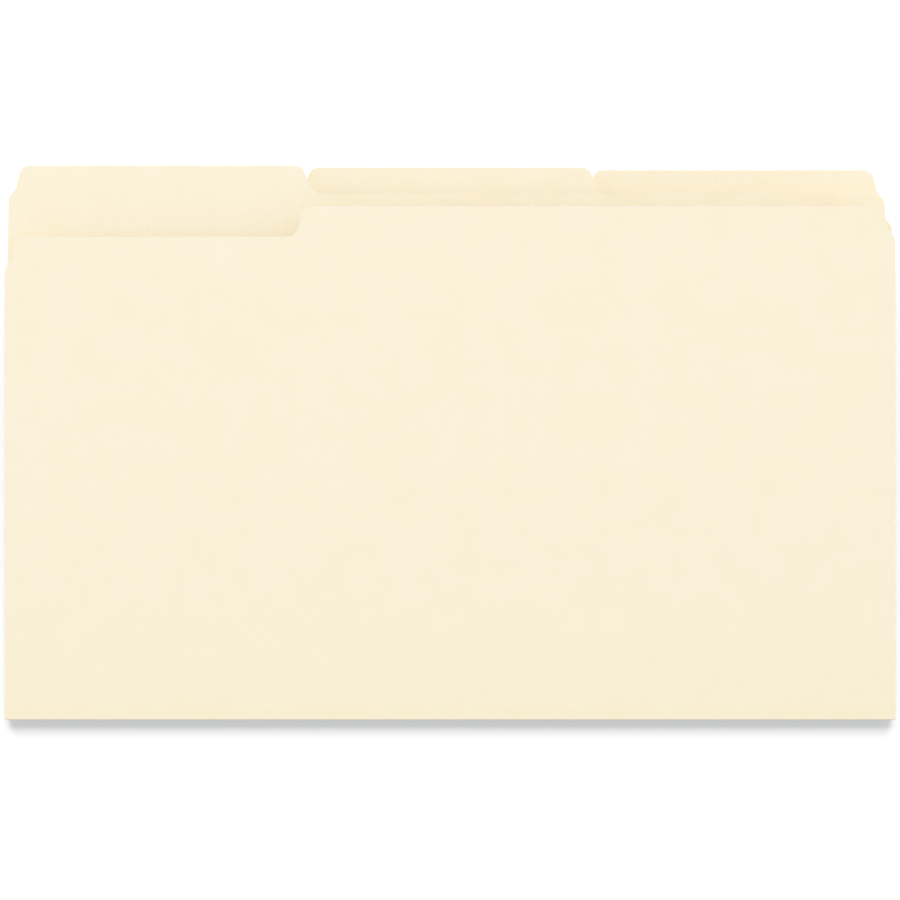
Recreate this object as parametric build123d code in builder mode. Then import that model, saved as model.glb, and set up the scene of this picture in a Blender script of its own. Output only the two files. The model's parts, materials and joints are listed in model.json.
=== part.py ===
import os
from math import cos, degrees, radians, sin

from build123d import *

# Cut sizes of one folder in millimetres, heights measured up from its folded edge
sheet_width = 374.65
stock_thickness = 0.28
front_leaf_height = 216.2
back_leaf_height = 222.0
tab_rise = 12.4
undercut_depth = 12.9

# Flanks of the tab and of the thumb undercut; a divide runs from the sheet's middle to a flank's middle
side_tab_divide = 60.3
centre_tab_divide = 62.0
undercut_inset = 3.0
tab_lean = 3.0
tab_crest_radius = 4.0
tab_root_radius = 7.0
undercut_lean = 1.0
undercut_crest_radius = 6.0
undercut_root_radius = 5.5

# Every outer top corner is a steep slope that flares out into the side edge
corner_top_inset = 5.4
corner_shoulder_inset = 3.2
corner_shoulder_depth = 9.8
corner_depth = 13.6
corner_top_radius = 5.0
corner_shoulder_radius = 3.0
corner_side_radius = 4.0

# Folded edge, the angle at which it springs open, and the scores above it
fold_inner_radius = 0.8
pocket_angle = 1.7
first_score_height = 11.1
score_pitch = 6.53
score_count = 3
score_groove_depth = 0.1
score_groove_width = 0.5
crease_gap = 0.02

# The folders lie on each other, named from the bottom up by the place of their tab
tab_places = ["right", "centre", "left"]
stack_gap = 0.2
stack_stagger = 0.6

half_width = sheet_width / 2
fold_outer_radius = fold_inner_radius + stock_thickness
half_gap = crease_gap / 2
# The flat stretches start where the bend ends, one outer radius in from the folded edge
front_reach = front_leaf_height - fold_outer_radius
back_reach = back_leaf_height - fold_outer_radius
score_reaches = [first_score_height - fold_outer_radius + score_pitch * n for n in range(score_count)]


def along(angle):
    return Vector(0, cos(radians(angle)), sin(radians(angle)))


def outward(angle):
    return Vector(0, -sin(radians(angle)), cos(radians(angle)))


# Bend centre of each folder, every one lying on the leaf below it and a little nearer the front
bend_centres = [Vector(0, 0, fold_outer_radius)]
for level in range(1, len(tab_places)):
    leaf_out = outward(level * pocket_angle)
    lower_leaf_top = bend_centres[-1] + leaf_out * (fold_outer_radius + stack_gap)
    stagger = along(level * pocket_angle) * stack_stagger
    bend_centres.append(lower_leaf_top + leaf_out * fold_outer_radius - stagger)

# The stack is centred front to back on the origin, with its underside at zero height
front_most = min(centre.Y for centre in bend_centres) - fold_outer_radius
back_most = back_reach + tab_rise
to_middle = Vector(0, -(front_most + back_most) / 2, 0)
bend_centres = [centre + to_middle for centre in bend_centres]


def leaf_shape(face, start, heights, divide, lean, crest_radius, root_radius):
    # Outline from the right side edge over the top to the left; heights run left, centre, right
    left, centre, right = heights
    corner = [
        (0, -corner_depth),
        (corner_shoulder_inset, -corner_shoulder_depth),
        (corner_top_inset, 0),
    ]
    corner_radii = [corner_side_radius, corner_shoulder_radius, corner_top_radius]
    points = [(half_width, start)]
    points += [(half_width - inset, right + drop) for inset, drop in corner]
    radii = list(corner_radii)
    for middle, near, far in ((divide, right, centre), (-divide, centre, left)):
        if near != far:
            points += [(middle + lean, near), (middle - lean, far)]
            radii += [crest_radius, root_radius] if near > far else [root_radius, crest_radius]
    points += [(inset - half_width, left + drop) for inset, drop in reversed(corner)]
    radii += reversed(corner_radii)
    points.append((-half_width, start))
    with BuildSketch(face) as shape:
        with BuildLine():
            FilletPolyline(*points, radius=radii)
            Line(points[-1], points[0])
        make_face()
    return shape.sketch


def bend_section(plane, first_angle, last_angle):
    # Ring sector of the folded stock between two directions seen from the bend centre
    size = last_angle - first_angle
    with BuildSketch(plane) as section:
        with BuildLine():
            outer = CenterArc((0, 0), fold_outer_radius, first_angle, size)
            inner = CenterArc((0, 0), fold_inner_radius, first_angle, size)
            Line(outer @ 0, inner @ 0)
            Line(outer @ 1, inner @ 1)
        make_face()
    return section.sketch


def strip_section(plane):
    # Flat stock from the folded edge to the last score, with every score pressed into its outer face
    groove_floor = fold_outer_radius - score_groove_depth
    half_groove = score_groove_width / 2
    end = score_reaches[-1] - half_gap
    outer_corners = [(half_gap, fold_outer_radius)]
    for reach in score_reaches[:-1]:
        outer_corners += [
            (reach - half_groove, fold_outer_radius),
            (reach, groove_floor),
            (reach + half_groove, fold_outer_radius),
        ]
    outer_corners += [(end - half_groove, fold_outer_radius), (end, groove_floor)]
    inner_corners = [(end, fold_inner_radius), (half_gap, fold_inner_radius)]
    with BuildSketch(plane) as section:
        with BuildLine():
            Polyline(*outer_corners, *inner_corners, close=True)
        make_face()
    return section.sketch


def build_folder(place, bend_centre, back_angle):
    front_angle = back_angle + pocket_angle
    gap_turn = degrees(half_gap / fold_outer_radius)
    back_section = Plane(bend_centre, x_dir=along(back_angle), z_dir=(1, 0, 0))
    front_section = Plane(bend_centre, x_dir=along(front_angle), z_dir=(1, 0, 0))
    back_face = Plane(
        bend_centre - outward(back_angle) * fold_outer_radius,
        x_dir=(1, 0, 0),
        z_dir=outward(back_angle),
    )
    front_face = Plane(
        bend_centre + outward(front_angle) * fold_inner_radius,
        x_dir=(1, 0, 0),
        z_dir=outward(front_angle),
    )
    sides = ["left", "centre", "right"]
    back_heights = [back_reach + tab_rise * (side == place) for side in sides]
    front_heights = [front_reach - undercut_depth * (side == place) for side in sides]
    # The undercut ends a little short of the tab's flank
    if place == "centre":
        tab_divide = centre_tab_divide
        undercut_divide = tab_divide - undercut_inset
    else:
        tab_divide = side_tab_divide
        undercut_divide = tab_divide + undercut_inset

    # Back leaf with the tab, and the lower half of the folded edge
    with BuildPart() as back_leaf:
        sheet = leaf_shape(
            back_face, 0, back_heights, tab_divide, tab_lean, tab_crest_radius, tab_root_radius
        )
        extrude(sheet, amount=stock_thickness)
        lower_bend = bend_section(back_section, 180 + gap_turn, 270)
        extrude(lower_bend, amount=half_width, both=True)

    # Upper half of the folded edge
    with BuildPart() as fold_edge:
        upper_bend = bend_section(front_section, 90 + gap_turn, 180 - pocket_angle - gap_turn)
        extrude(upper_bend, amount=half_width, both=True)

    # Expansion strip between the folded edge and the last score
    with BuildPart() as strip:
        extrude(strip_section(front_section), amount=half_width, both=True)

    # Front leaf with its undercut, from the last score up
    with BuildPart() as front_leaf:
        leaf_start = score_reaches[-1] + half_gap
        sheet = leaf_shape(
            front_face,
            leaf_start,
            front_heights,
            undercut_divide,
            undercut_lean,
            undercut_crest_radius,
            undercut_root_radius,
        )
        extrude(sheet, amount=stock_thickness)
        outer_face = front_leaf.faces().sort_by(Axis(bend_centre, outward(front_angle)))[-1]
        chamfer(
            outer_face.edges().sort_by(Axis.Y)[0],
            length=score_groove_width / 2,
            length2=score_groove_depth,
            reference=outer_face,
        )

    pieces = {"back_leaf": back_leaf, "fold_edge": fold_edge, "strip": strip, "front_leaf": front_leaf}
    return {f"{place}_{name}": piece for name, piece in pieces.items()}


os.makedirs("parts", exist_ok=True)
for level, (place, bend_centre) in enumerate(zip(tab_places, bend_centres)):
    for name, piece in build_folder(place, bend_centre, level * pocket_angle).items():
        piece.part.label = name
        export_step(piece.part, f"parts/{name}.step")
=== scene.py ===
import bpy
import json
import numpy as np
from math import pi, radians
from mathutils import Matrix, Vector


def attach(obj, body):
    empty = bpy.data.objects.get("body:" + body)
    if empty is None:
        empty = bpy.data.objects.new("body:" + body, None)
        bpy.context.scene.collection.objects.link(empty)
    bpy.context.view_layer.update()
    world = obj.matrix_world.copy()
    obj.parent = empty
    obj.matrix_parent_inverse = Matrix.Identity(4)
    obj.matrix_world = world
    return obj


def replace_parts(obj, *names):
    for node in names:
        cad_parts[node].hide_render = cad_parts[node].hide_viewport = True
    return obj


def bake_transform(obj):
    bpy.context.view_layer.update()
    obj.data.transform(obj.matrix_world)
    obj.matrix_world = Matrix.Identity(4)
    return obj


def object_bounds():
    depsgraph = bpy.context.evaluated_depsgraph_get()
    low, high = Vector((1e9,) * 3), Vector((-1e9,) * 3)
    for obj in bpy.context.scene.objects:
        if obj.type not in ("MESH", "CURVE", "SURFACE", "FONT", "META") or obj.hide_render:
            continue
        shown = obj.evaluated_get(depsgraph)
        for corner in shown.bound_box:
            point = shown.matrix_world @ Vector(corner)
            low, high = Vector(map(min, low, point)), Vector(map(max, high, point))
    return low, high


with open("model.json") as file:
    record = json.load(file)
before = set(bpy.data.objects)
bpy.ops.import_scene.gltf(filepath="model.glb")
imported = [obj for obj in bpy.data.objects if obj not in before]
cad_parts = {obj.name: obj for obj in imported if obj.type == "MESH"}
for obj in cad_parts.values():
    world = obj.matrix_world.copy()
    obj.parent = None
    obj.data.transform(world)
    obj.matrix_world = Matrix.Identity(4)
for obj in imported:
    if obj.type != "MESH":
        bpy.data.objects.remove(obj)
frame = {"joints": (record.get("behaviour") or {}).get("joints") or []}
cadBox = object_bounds()
joints = {joint["name"]: joint for joint in frame["joints"]}
places = ["right", "centre", "left"]  # bottom of the stack first
sides = ["left", "centre", "right"]  # thirds of a sheet's top edge
mm = 0.001
across = np.array([1.0, 0, 0])


def folderFrame(place):
    # Where a folder lies, read off its joints: the bend's centre is one outer radius
    # below the strip's hinge and one inside the opening hinge
    slide = joints.get(place + "_pull_out")
    backAlong = np.array(slide["axis"] if slide else [0, 1.0, 0])  # the lowest back leaf lies flat
    out = -np.array(joints[place + "_expand"]["axis"])
    along = np.array([0, out[2], -out[1]])
    top = np.array(joints[place + "_strip_turn"]["pos_m"])
    edge = np.array(joints[place + "_open"]["pos_m"])
    radius = np.linalg.norm(top - edge) / np.linalg.norm(out + backAlong)
    backOut = np.array([0, -backAlong[2], backAlong[1]])
    return {"centre": top - out * radius, "radius": radius, "along": along, "out": out,
            "backAlong": backAlong, "backOut": backOut}


folders = {place: folderFrame(place) for place in places}

sheet = {  # millimetres; heights count from the folded edge
    "thickness": 0.28, "frontHeight": 216.2, "backHeight": 222.0,
    "cornerInset": (0, 3.2, 5.4), "cornerDrop": (13.6, 9.8, 0), "cornerRadii": (4.0, 3.0, 5.0),
    "topBow": 0.75, "innerBow": 0.1, "bowEnd": 1.1,  # a leaf's bow, and its end as a share of the front leaf
    "columns": 61, "rows": 45, "arcPoints": 14, "leastStep": 0.015, "sharpDegrees": 40,  # mesh
}
scores = {  # millimetres, heights from the folded edge
    "heights": (11.1, 17.63, 24.16), "depth": 0.02, "halfWidth": 0.42,
    "rows": 27, "fineReach": 1.2, "fineRows": 17, "blendStart": 0.8, "blendShort": 0.4,
}

lowBox, highBox = (np.array(corner) for corner in cadBox)
halfWidth = (highBox[0] - lowBox[0]) / 2
foldRadius = folders["left"]["radius"]
innerRadius = foldRadius - sheet["thickness"] * mm
foldReach = foldRadius / mm  # flat stock starts this far from the folded edge
scoreReach = np.array(scores["heights"]) - foldReach
frontReach = sheet["frontHeight"] - foldReach
backReach = sheet["backHeight"] - foldReach
columnStops = np.linspace(-halfWidth, halfWidth, sheet["columns"]) / mm


def unit(v):
    # Vectors of length one along the last axis
    return v / np.linalg.norm(v, axis=-1, keepdims=True)


def roundedLine(points, radii):
    # Each corner gives way to an arc of its radius that touches both its sides, swept in equal turns
    p, r = np.array(points, float), np.array(radii, float)[:, None]
    before, after = unit(p[:-2] - p[1:-1]), unit(p[2:] - p[1:-1])
    half = np.arccos((before * after).sum(1, keepdims=True)) / 2
    centre = p[1:-1] + unit(before + after) * r / np.sin(half)
    first = p[1:-1] + before * r / np.tan(half) - centre
    last = p[1:-1] + after * r / np.tan(half) - centre
    angle = np.arctan2(first[:, 1], first[:, 0])
    turn = (np.arctan2(last[:, 1], last[:, 0]) - angle + pi) % (2 * pi) - pi
    sweep = angle[:, None] + turn[:, None] * np.linspace(0, 1, sheet["arcPoints"])
    arcs = centre[:, None] + r[:, None] * np.stack([np.cos(sweep), np.sin(sweep)], -1)
    return arcs.reshape(-1, 2)


def topEdge(levels, divide, lean, radii):
    # Top outline of a leaf from its left corner to its right, as reach against x in millimetres
    width = halfWidth / mm
    inset, drop = np.array(sheet["cornerInset"]), np.array(sheet["cornerDrop"])
    leftCorner = np.stack([inset - width, levels[0] - drop], 1)
    rightCorner = np.stack([width - inset, levels[2] - drop], 1)[::-1]
    crest, root = radii
    flanks, flankRadii = [], []
    for at, near, far in ((-divide, levels[0], levels[1]), (divide, levels[1], levels[2])):
        if near != far:
            flanks += [(at - lean, near), (at + lean, far)]
            flankRadii += [crest, root] if near > far else [root, crest]
    points = [(-width, 0), *leftCorner, *flanks, *rightCorner, (width, 0)]
    return roundedLine(points, [*sheet["cornerRadii"], *flankRadii, *sheet["cornerRadii"][::-1]])


def gridStops(*runs):
    # Sorted stops of all the runs together, without near doubles
    stops = np.unique(np.concatenate([np.ravel(run) for run in runs]))
    return stops[np.concatenate([[True], np.diff(stops) > sheet["leastStep"]])]


def slab(name, first, second, shadedAndWorn):
    # Two matching grids of points, each a face of the stock, joined round their borders by the cut edge
    rows, columns = first.shape[:2]
    count = rows * columns
    k = np.arange(count).reshape(rows, columns)
    quads = np.stack([k[:-1, :-1], k[:-1, 1:], k[1:, 1:], k[1:, :-1]], -1).reshape(-1, 4)
    rim = np.concatenate([k[0, :-1], k[:-1, -1], k[-1, :0:-1], k[:0:-1, 0]])
    ahead = np.roll(rim, -1)
    walls = np.stack([rim, rim + count, ahead + count, ahead], -1)
    faces = np.concatenate([quads, quads[:, ::-1] + count, walls])
    mesh = bpy.data.meshes.new(name)
    mesh.from_pydata(np.concatenate([first.reshape(-1, 3), second.reshape(-1, 3)]), [], faces.tolist())
    mesh.polygons.foreach_set("use_smooth", np.ones(len(faces), bool))
    mesh.set_sharp_from_angle(angle=radians(sheet["sharpDegrees"]))
    cutEdge = mesh.attributes.new("cutEdge", "FLOAT", "FACE")
    isWall = np.arange(len(faces)) >= len(faces) - len(walls)
    cutEdge.data.foreach_set("value", isWall.astype(np.float32))
    # How much painted shade and pressed crease each point takes towards the fold, with the broad tone there
    foldShadeAndWear = mesh.attributes.new("foldShadeAndWear", "FLOAT", "POINT")
    foldShadeAndWear.data.foreach_set("value", np.tile(shadedAndWorn.ravel(), 2).astype(np.float32))
    piece = bpy.data.objects.new(name, mesh)
    bpy.context.scene.collection.objects.link(piece)
    return piece


# Sizes of the painted shade and pressed crease beside the fold, and of the broad tone towards it
shadeAndWear = {"bandReach": 2.6, "bandHalfWidth": 1.7, "toneReach": 39.0, "toneShare": 0.87}  # millimetres


def shadeAndWearAt(reach):
    # Painted shade where the leaf curves into the fold, partly also the pressed crease, in a band beside the
    # fold; and a broad tone that is darker and yellower towards the fold
    pressed = np.exp(-(((reach - shadeAndWear["bandReach"]) / shadeAndWear["bandHalfWidth"]) ** 2))
    return pressed + shadeAndWear["toneShare"] * np.exp(-((reach / shadeAndWear["toneReach"]) ** 2))


def bowAt(reach, bow):
    # Half a sine wave from the bend to the front leaf's free edge, and a little beyond it
    return bow * np.sin(pi * np.clip(reach / frontReach, 0, sheet["bowEnd"]))


def leafBase(folder, along, x, reach):
    # Points level with the bend's centre, reach along a leaf and x across it, in millimetres
    return folder["centre"] + reach[..., None] * mm * along + x[..., None] * mm * across


bend = {  # millimetres; press squares the curve, and slack draws it in at its front
    "roundReach": 2.4, "roundDrop": 0.02, "press": 4.0, "slack": 0.025, "rows": 33, "columns": 41,
}


def frontFaces(place, x, reach):
    # The front half's two faces: its bow, less the rounding at the fold and a bell-shaped dip at each score
    folder = folders[place]
    bow = bowAt(reach, sheet["topBow"] if place == "left" else sheet["innerBow"])
    rounding = np.clip(1 - reach / bend["roundReach"], 0, 1) ** 2 * bend["roundDrop"]
    pressed = np.exp(-(((reach[..., None] - scoreReach) / scores["halfWidth"]) ** 2)).sum(-1)
    lift = (bow - rounding - pressed * scores["depth"])[..., None] * mm
    base = leafBase(folder, folder["along"], x, reach)
    return base + (folder["radius"] + lift) * folder["out"], base + (innerRadius + lift) * folder["out"]


tab = {  # millimetres; a divide runs from the sheet's middle to a flank's middle
    "rise": 12.4, "divide": {"left": 60.3, "centre": 62.0, "right": 60.3}, "lean": 3.0, "radii": (4.0, 7.0),
}


def backLeaf(place):
    # Rows in equal shares of the way from the bend to the cut outline, which has the tab
    folder = folders[place]
    levels = [backReach + tab["rise"] * (side == place) for side in sides]
    edge = topEdge(levels, tab["divide"][place], tab["lean"], tab["radii"])
    x = gridStops(edge[:, 0], columnStops)
    share = np.linspace(0, 1, sheet["rows"])
    reach = share[:, None] * np.interp(x, edge[:, 0], edge[:, 1])
    x = np.broadcast_to(x, reach.shape)
    lift = bowAt(reach, 0 if place == "right" else sheet["innerBow"])[..., None] * mm
    base = leafBase(folder, folder["backAlong"], x, reach)
    inside = base + (lift - innerRadius) * folder["backOut"]
    under = base + (lift - folder["radius"]) * folder["backOut"]
    piece = slab(place + "BackLeaf", inside, under, shadeAndWearAt(reach))
    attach(piece, place + "_back_leaf")
    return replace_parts(piece, place + "_back_leaf")


def foldEdge(place):
    # Half a turn of stock about the bend's centre on a superellipse, so that the crease looks pressed
    folder = folders[place]
    low = np.arctan2(folder["backOut"][2], folder["backOut"][1]) + pi
    high = np.arctan2(folder["out"][2], folder["out"][1])
    share = np.linspace(0, 1, bend["rows"])
    angle = low + (high - low) * share
    ease = np.clip(share * 2 - 1, 0, 1)
    drop = ease * ease * (3 - 2 * ease) * bend["roundDrop"] * mm
    quarter = (share - 0.5) * pi
    bulge = np.abs(np.cos(quarter)) ** bend["press"] + np.abs(np.sin(quarter)) ** bend["press"]
    press = bulge ** (-1 / bend["press"]) * (1 - bend["slack"] * np.cos(quarter) ** 2)
    turned = np.stack([0 * angle, np.cos(angle), np.sin(angle)], -1)[:, None]
    width = np.linspace(-halfWidth, halfWidth, bend["columns"])[None, :, None] * across
    outer = folder["centre"] + (folder["radius"] * press - drop)[:, None, None] * turned + width
    inner = folder["centre"] + (innerRadius * press - drop)[:, None, None] * turned + width
    piece = slab(place + "FoldEdge", outer, inner, np.full(outer.shape[:2], shadeAndWearAt(0.0)))
    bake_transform(piece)
    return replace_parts(piece, place + "_fold_edge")


def scoredStrip(place):
    # Even rows from the bend to the last score, with close ones across each score
    last = scoreReach[-1]
    fine = scoreReach[:, None] + np.linspace(-scores["fineReach"], scores["fineReach"], scores["fineRows"])
    rows = gridStops(np.linspace(0, last, scores["rows"]), fine[fine < last], last)
    reach, x = np.meshgrid(rows, columnStops, indexing="ij")
    outer, inner = frontFaces(place, x, reach)
    piece = slab(place + "ScoredStrip", outer, inner, shadeAndWearAt(reach))
    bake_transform(piece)
    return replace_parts(piece, place + "_strip")


undercut = {  # millimetres; its flanks stand this far inside the tab's
    "depth": 12.9, "inset": {"left": 3.0, "centre": -3.0, "right": 3.0}, "lean": 1.0, "radii": (6.0, 5.5),
    "fineShare": 0.008, "fineRows": 13,  # close rows beside the last score
}


def frontLeaf(place):
    # Rows in shares of the way from the last score to the cut outline, which has the thumb undercut
    levels = [frontReach - undercut["depth"] * (side == place) for side in sides]
    divide = tab["divide"][place] + undercut["inset"][place]
    edge = topEdge(levels, divide, undercut["lean"], undercut["radii"])
    x = gridStops(edge[:, 0], columnStops)
    fine = np.linspace(0, undercut["fineShare"], undercut["fineRows"])[:-1]
    share = np.concatenate([fine, np.linspace(undercut["fineShare"], 1, sheet["rows"])])
    reach = scoreReach[-1] + share[:, None] * (np.interp(x, edge[:, 0], edge[:, 1]) - scoreReach[-1])
    x = np.broadcast_to(x, reach.shape)
    outer, inner = frontFaces(place, x, reach)
    piece = slab(place + "FrontLeaf", outer, inner, shadeAndWearAt(reach))
    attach(piece, place + "_front_leaf")
    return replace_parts(piece, place + "_front_leaf")


sheets = [make(place) for place in places for make in (backLeaf, foldEdge, scoredStrip, frontLeaf)]
print("sheets: %d pieces, %d faces" % (len(sheets), sum(len(piece.data.polygons) for piece in sheets)))


def linear(hexColour):
    # sRGB hex colour as linear red, green, blue and alpha
    value = np.array([int(hexColour[i:i + 2], 16) for i in (1, 3, 5)]) / 255
    value = np.where(value <= 0.04045, value / 12.92, ((value + 0.055) / 1.055) ** 2.4)
    return (*value.tolist(), 1.0)


def addNode(tree, kind, settings, inputs):
    # One node with its settings; an input takes a value, or the socket that feeds it
    node = tree.nodes.new(kind)
    for key, value in settings.items():
        setattr(node, key, value)
    for key, value in inputs.items():
        if isinstance(value, bpy.types.NodeSocket):
            tree.links.new(value, node.inputs[key])
        else:
            node.inputs[key].default_value = value
    return node


stock = {  # sizes in millimetres
    # The fold tone and its share paint shade where the leaf curves into the fold, together with the pressed
    # crease
    "colour": "#FCF2DE", "cloud": "#F8ECD0", "cutEdge": "#EFE0B9", "shadeAndWear": "#FAEDC4", "fibre": "#DCC698",
    "cloudShare": 0.38, "fibreShare": 0.2, "shadeAndWearShare": 0.22, "cutShare": 0.7,
    "cloudSize": 14, "cloudRange": (0.5, 1.0), "grainSize": 1.3, "grainShare": 0.5,
    "fibreLength": 5.0, "fibreWidth": 0.45, "fibreTurns": (0.6, 2.2), "fibreRange": (0.74, 0.82),
    "toothSize": 0.6, "toothHeight": 0.02, "toothStrength": 0.25,
    "roughness": 0.82, "roughnessSpread": 0.06, "specular": 0.2,
}


def manilaStock():
    # Uncoated manila: matt, faintly cloudy where the pulp lies thick and thin, with a few stray fibres
    material = bpy.data.materials.new("manilaStock")
    material.use_nodes = True
    tree = material.node_tree
    tree.nodes.clear()
    where = addNode(tree, "ShaderNodeTexCoord", {}, {}).outputs["Object"]
    cloud = addNode(tree, "ShaderNodeTexNoise", {}, {
        "Vector": where, "Scale": 1 / (stock["cloudSize"] * mm), "Detail": 3.0, "Roughness": 0.6})
    grain = addNode(tree, "ShaderNodeTexNoise", {}, {
        "Vector": where, "Scale": 1 / (stock["grainSize"] * mm), "Detail": 2.0})
    mixed = addNode(tree, "ShaderNodeMath", {"operation": "MULTIPLY_ADD"}, {
        0: grain.outputs["Fac"], 1: stock["grainShare"], 2: cloud.outputs["Fac"]})
    thin, thick = stock["cloudRange"]
    cloudShare = addNode(tree, "ShaderNodeMapRange", {}, {
        "Value": mixed.outputs[0], "From Min": thin, "From Max": thick,
        "To Min": 0.0, "To Max": stock["cloudShare"]})
    # A Mix node's colours are its inputs 6 and 7 and its output 2
    colour = addNode(tree, "ShaderNodeMix", {"data_type": "RGBA"}, {
        0: cloudShare.outputs[0], 6: linear(stock["colour"]), 7: linear(stock["cloud"])})
    slender = stock["fibreWidth"] / stock["fibreLength"]
    faint, full = stock["fibreRange"]
    for turn in stock["fibreTurns"]:  # fibres lie two ways
        stretched = addNode(tree, "ShaderNodeMapping", {}, {
            "Vector": where, "Rotation": (0, 0, turn), "Scale": (1, slender, 1)})
        fibre = addNode(tree, "ShaderNodeTexNoise", {}, {
            "Vector": stretched.outputs[0], "Scale": 1 / (stock["fibreWidth"] * mm), "Detail": 1.0})
        share = addNode(tree, "ShaderNodeMapRange", {}, {
            "Value": fibre.outputs["Fac"], "From Min": faint, "From Max": full,
            "To Min": 0.0, "To Max": stock["fibreShare"]})
        colour = addNode(tree, "ShaderNodeMix", {"data_type": "RGBA"}, {
            0: share.outputs[0], 6: colour.outputs[2], 7: linear(stock["fibre"])})
    # The fold tone paints shade where the leaf curves into the fold, along with the pressed crease; the cut
    # edge has its own colour
    tones = (("foldShadeAndWear", stock["shadeAndWearShare"], stock["shadeAndWear"]),
             ("cutEdge", stock["cutShare"], stock["cutEdge"]))
    for name, most, tone in tones:
        found = addNode(tree, "ShaderNodeAttribute", {"attribute_name": name}, {})
        share = addNode(tree, "ShaderNodeMath", {"operation": "MULTIPLY"}, {0: found.outputs["Fac"], 1: most})
        colour = addNode(tree, "ShaderNodeMix", {"data_type": "RGBA"}, {
            0: share.outputs[0], 6: colour.outputs[2], 7: linear(tone)})
    # Real tooth is finer; it is drawn this coarse so that it shows
    tooth = addNode(tree, "ShaderNodeTexNoise", {}, {
        "Vector": where, "Scale": 1 / (stock["toothSize"] * mm), "Detail": 2.0})
    bump = addNode(tree, "ShaderNodeBump", {}, {
        "Height": tooth.outputs["Fac"], "Strength": stock["toothStrength"],
        "Distance": stock["toothHeight"] * mm})
    smoothest = stock["roughness"] - stock["roughnessSpread"]
    roughest = stock["roughness"] + stock["roughnessSpread"]
    rough = addNode(tree, "ShaderNodeMapRange", {}, {
        "Value": cloud.outputs["Fac"], "To Min": smoothest, "To Max": roughest})
    paper = addNode(tree, "ShaderNodeBsdfPrincipled", {}, {
        "Base Color": colour.outputs[2], "Roughness": rough.outputs[0], "Normal": bump.outputs[0],
        "Specular IOR Level": stock["specular"]})
    addNode(tree, "ShaderNodeOutputMaterial", {}, {"Surface": paper.outputs[0]})
    return material


manila = manilaStock()
for piece in sheets:
    piece.data.materials.append(manila)
print("material: manila stock on %d pieces" % len(sheets))


def seenDirectly(tree):
    # 1 for what the camera sees straight on, in a mirror or through glass
    path = addNode(tree, "ShaderNodeLightPath", {}, {}).outputs
    either = addNode(tree, "ShaderNodeMath", {"operation": "MAXIMUM"}, {
        0: path["Is Camera Ray"], 1: path["Is Glossy Ray"]})
    return addNode(tree, "ShaderNodeMath", {"operation": "MAXIMUM"}, {
        0: either.outputs[0], 1: path["Is Transmission Ray"]}).outputs[0]


table = {  # metres; the glow rises to white over the fade, counted from the origin
    "colour": "#BDBBB5", "glow": 0.335, "glowTint": "#EEF7FF", "fade": (0.8, 2.2),
    "half": 4.0, "drop": 0.0001,
}


def whiteTable():
    # Plain white table; it keeps the shadow that falls on it, and glows white to the camera further off
    half = table["half"]
    corners = np.array([(-half, -half), (half, -half), (half, half), (-half, half)])
    mesh = bpy.data.meshes.new("table")
    mesh.from_pydata(np.column_stack([corners, np.full(4, lowBox[2] - table["drop"])]), [], [(0, 1, 2, 3)])
    material = bpy.data.materials.new("whiteTable")
    material.use_nodes = True
    tree = material.node_tree
    tree.nodes.clear()
    matt = addNode(tree, "ShaderNodeBsdfDiffuse", {}, {"Color": linear(table["colour"])})
    where = addNode(tree, "ShaderNodeTexCoord", {}, {}).outputs["Object"]
    away = addNode(tree, "ShaderNodeVectorMath", {"operation": "LENGTH"}, {0: where}).outputs["Value"]
    nearFade, farFade = table["fade"]
    lift = addNode(tree, "ShaderNodeMapRange", {"interpolation_type": "SMOOTHSTEP"}, {
        "Value": away, "From Min": nearFade, "From Max": farFade, "To Min": table["glow"], "To Max": 1.0})
    strength = addNode(tree, "ShaderNodeMath", {"operation": "MULTIPLY"}, {
        0: seenDirectly(tree), 1: lift.outputs[0]})
    glow = addNode(tree, "ShaderNodeEmission", {}, {
        "Color": linear(table["glowTint"]), "Strength": strength.outputs[0]})
    both = addNode(tree, "ShaderNodeAddShader", {}, {0: matt.outputs[0], 1: glow.outputs[0]})
    addNode(tree, "ShaderNodeOutputMaterial", {}, {"Surface": both.outputs[0]})
    mesh.materials.append(material)
    top = bpy.data.objects.new("table", mesh)
    bpy.context.scene.collection.objects.link(top)
    return top


studio = {  # lamps in watts and metres
    "sky": 0.66, "skyTint": "#FAFBFF",
    "key": 248.0, "keyTint": "#FFFFEF", "keyFrom": (-0.7, 4.0, 5.8), "keySize": (3.8, 2.6),
    "tableLamp": 560.0, "tableLampFrom": (0.0, 3.5, 3.05), "tableLampSize": (5.0, 4.6),
}


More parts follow.
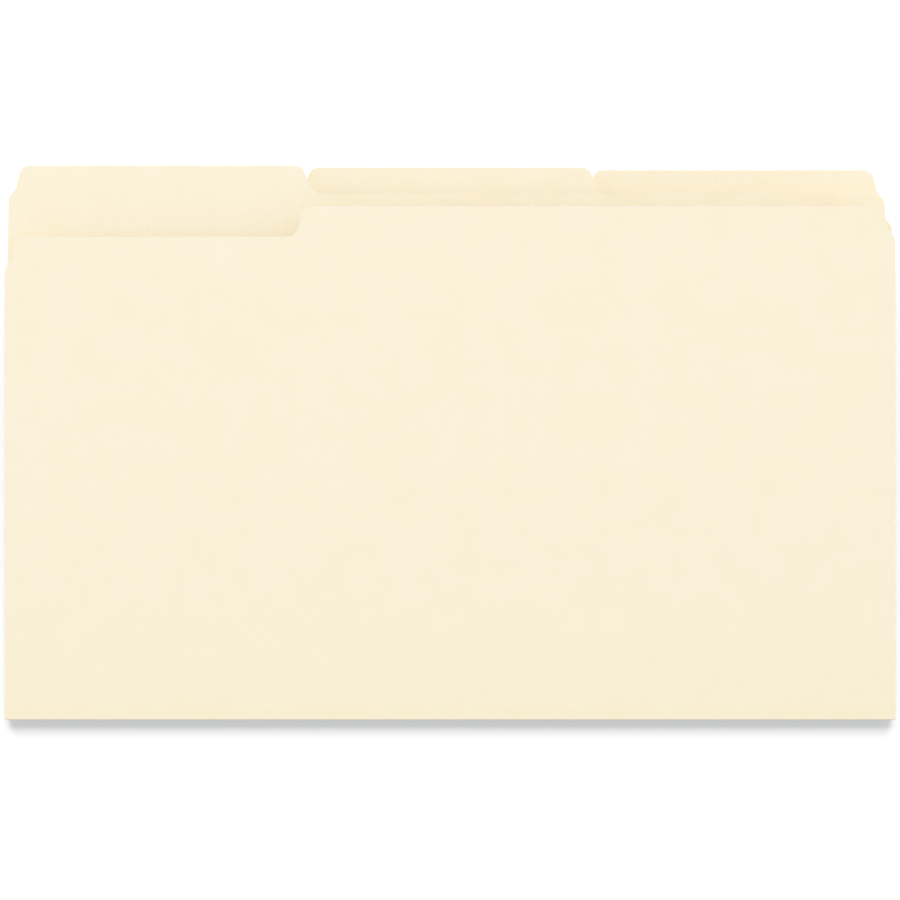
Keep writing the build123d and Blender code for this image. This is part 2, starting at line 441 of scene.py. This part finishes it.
def softLamp(name, tint, lit):
    # Rectangular soft box that faces the origin and lights only what is in lit
    place = studio[name + "From"]
    lamp = bpy.data.lights.new(name, "AREA")
    lamp.shape = "RECTANGLE"
    lamp.size, lamp.size_y = studio[name + "Size"]
    lamp.energy = studio[name]
    lamp.color = linear(tint)[:3]
    holder = bpy.data.objects.new(name, lamp)
    holder.location = place
    holder.rotation_euler = (-Vector(place)).to_track_quat("-Z", "Y").to_euler()
    holder.visible_camera = False
    bpy.context.scene.collection.objects.link(holder)
    group = bpy.data.collections.new(name + "Lit")
    for thing in lit:
        group.objects.link(thing)
    holder.light_linking.receiver_collection = group


def studioLight(tableTop):
    # A slightly cool tent and a slightly warm lamp beyond the tabs add up to nearly neutral;
    # the table's own lamp has the tent's tint and throws the shadow in front of the fold
    world = bpy.data.worlds.new("studio")
    bpy.context.scene.world = world
    world.use_nodes = True
    tree = world.node_tree
    tree.nodes.clear()
    seen = seenDirectly(tree)
    strength = addNode(tree, "ShaderNodeMapRange", {}, {
        "Value": seen, "To Min": studio["sky"], "To Max": 1.0})
    tint = addNode(tree, "ShaderNodeMix", {"data_type": "RGBA"}, {
        0: seen, 6: linear(studio["skyTint"]), 7: (1, 1, 1, 1)})
    sky = addNode(tree, "ShaderNodeBackground", {}, {
        "Color": tint.outputs[2], "Strength": strength.outputs[0]})
    addNode(tree, "ShaderNodeOutputWorld", {}, {"Surface": sky.outputs[0]})
    softLamp("key", studio["keyTint"], sheets)
    softLamp("tableLamp", studio["skyTint"], [tableTop])


view = {  # millimetres on the top leaf, and the picture's width in pixels
    "distance": 1050.0, "pixelsPerMm": 2.3775, "right": -0.05, "up": 112.5,
    "pictureWidth": 900, "sensor": 36.0,
}


def photoCamera():
    # Square to the top folder's front leaf
    top = folders["left"]
    target = top["centre"] + top["out"] * top["radius"] + top["along"] * view["up"] * mm
    target = target + across * view["right"] * mm
    lens = bpy.data.cameras.new("camera")
    lens.sensor_width = view["sensor"]
    lens.lens = view["pixelsPerMm"] * view["distance"] / view["pictureWidth"] * lens.sensor_width
    camera = bpy.data.objects.new("camera", lens)
    bpy.context.scene.collection.objects.link(camera)
    place = np.eye(4)
    place[:3, :3] = np.column_stack([across, top["along"], top["out"]])
    place[:3, 3] = target + top["out"] * view["distance"] * mm
    camera.matrix_world = Matrix(place.tolist())
    bpy.context.scene.camera = camera


studioLight(whiteTable())
photoCamera()
bpy.context.scene.view_settings.view_transform = "Standard"
print("studio: table, two lamps, sky and camera")
